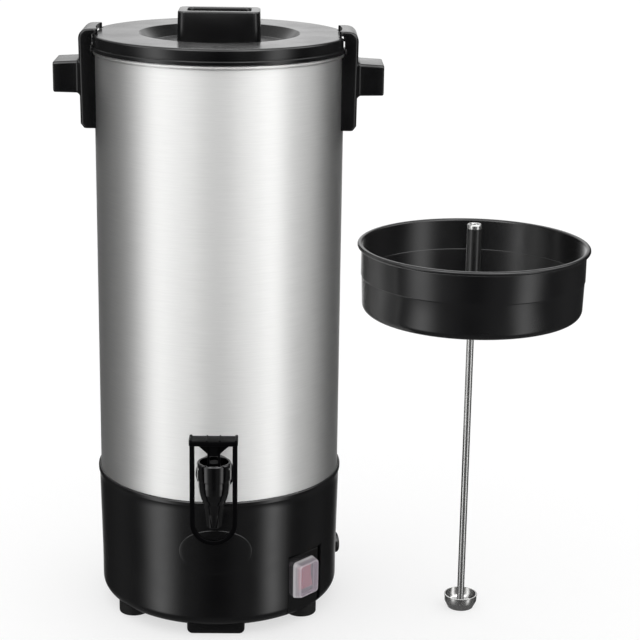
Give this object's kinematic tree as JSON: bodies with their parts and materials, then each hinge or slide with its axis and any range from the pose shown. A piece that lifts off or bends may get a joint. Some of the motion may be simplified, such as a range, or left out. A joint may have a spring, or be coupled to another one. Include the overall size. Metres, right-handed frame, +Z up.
{
  "type": "coffee urn",
  "caption": "Percolator coffee urn with a steel drum, black base, lid and handles, a push tap with a cup loop, and its brewing basket on a pump tube standing beside it.",
  "frame": {"origin": "on the drum's axis, on the surface the feet stand on", "axes": "+Z up the drum's axis; the tap and front face -Y; +X is towards the basket that stands beside the urn"},
  "size_m": [0.475, 0.2692, 0.5496],
  "materials": {
    "black_moulding": "satin, fine grain",
    "drum_steel": "brushed round the drum",
    "pressed_steel": "satin",
    "bright_steel": "polished",
    "zinc_steel": "bright zinc",
    "heater_sheath": "dull, heat tinted",
    "cast_aluminium": "cast",
    "coated_metal": "non-stick coating, satin",
    "black_post": "smooth",
    "red_rocker": "gloss",
    "clear_silicone": "clear, soft",
    "silicone": "matt",
    "rubber_foot": "matt",
    "natural_nylon": "smooth",
    "ceramic_block": "matt",
    "fuse_case": "dull",
    "wire_sleeve": "braided sleeve"
  },
  "bodies": {
    "urn": {"urn_drum": "drum_steel", "tank_floor": "pressed_steel", "heat_spreader": "cast_aluminium", "boil_heater": "heater_sheath", "warm_heater": "heater_sheath", "thermostat": "ceramic_block", "thermal_fuse": "fuse_case", "terminal_block": "ceramic_block", "wiring": "wire_sleeve", "tie_studs": "zinc_steel", "tie_nuts": "zinc_steel", "base_shell": "black_moulding", "base_cover": "black_moulding", "rubber_feet": "rubber_foot", "front_foot": "black_moulding", "foot_screws": "zinc_steel", "cord_gland": "black_moulding", "gland_nut": "black_moulding", "switch_body": "black_moulding", "switch_boot": "clear_silicone", "left_handle": "black_moulding", "right_handle": "black_moulding", "handle_screws": "pressed_steel", "handle_washers": "silicone", "tap_body": "black_moulding", "tap_gasket": "silicone", "tap_inner_gasket": "silicone", "tap_nut": "black_moulding", "tap_guide": "black_moulding", "tap_spring": "bright_steel", "lever_pin": "bright_steel"},
    "seal_ring": {"lid_seal": "silicone"},
    "lid": {"lid_shell": "black_moulding", "lid_knob": "black_moulding", "lid_liner": "pressed_steel", "knob_screws": "pressed_steel"},
    "tap_lever": {"tap_lever": "black_moulding"},
    "tap_plunger": {"tap_plunger": "natural_nylon", "tap_seal": "silicone"},
    "switch_rocker": {"switch_rocker": "red_rocker"},
    "pump_stem": {"pump_tube": "bright_steel", "tube_collar": "bright_steel", "pump_foot": "bright_steel"},
    "basket": {"basket": "coated_metal", "basket_post": "black_post", "sleeve_ferrule": "bright_steel"},
    "valve_washer": {"valve_washer": "silicone"}
  },
  "joints": [
    {"name": "lid_lift", "type": "slide", "parent": "urn", "child": "seal_ring", "axis": [0, 0, 1], "range_m": [0, 0.25]},
    {"name": "lid_twist", "type": "hinge", "parent": "seal_ring", "child": "lid", "pos_m": [0, 0, 0.5158], "axis": [0, 0, 1], "range_deg": [0, 20]},
    {"name": "tap_lever_tilt", "type": "hinge", "parent": "urn", "child": "tap_lever", "pos_m": [0, -0.1415, 0.174], "axis": [1, 0, 0], "range_deg": [0, 20], "stiffness_Nm_per_rad": 0.6},
    {"name": "tap_valve_lift", "type": "slide", "parent": "urn", "child": "tap_plunger", "axis": [0, 0, 1], "range_m": [0, 0.00195], "deforming": ["tap_spring"]},
    {"name": "switch_rock", "type": "hinge", "parent": "urn", "child": "switch_rocker", "pos_m": [0.0758, -0.06825, 0.0437], "axis": [0.6691, 0.7431, 0], "range_deg": [0, 14]},
    {"name": "set_lift", "type": "slide", "parent": "urn", "child": "pump_stem", "axis": [0, 0, 1], "range_m": [0, 0.04]},
    {"name": "basket_lift", "type": "slide", "parent": "pump_stem", "child": "basket", "axis": [0, 0, 1], "range_m": [0, 0.085]},
    {"name": "washer_lift", "type": "slide", "parent": "pump_stem", "child": "valve_washer", "axis": [0, 0, 1], "range_m": [0, 0.0007]}
  ],
  "couplings": [
    {"joint": "tap_valve_lift", "follows": "tap_lever_tilt", "m_per_rad": 0.0055}
  ]
}
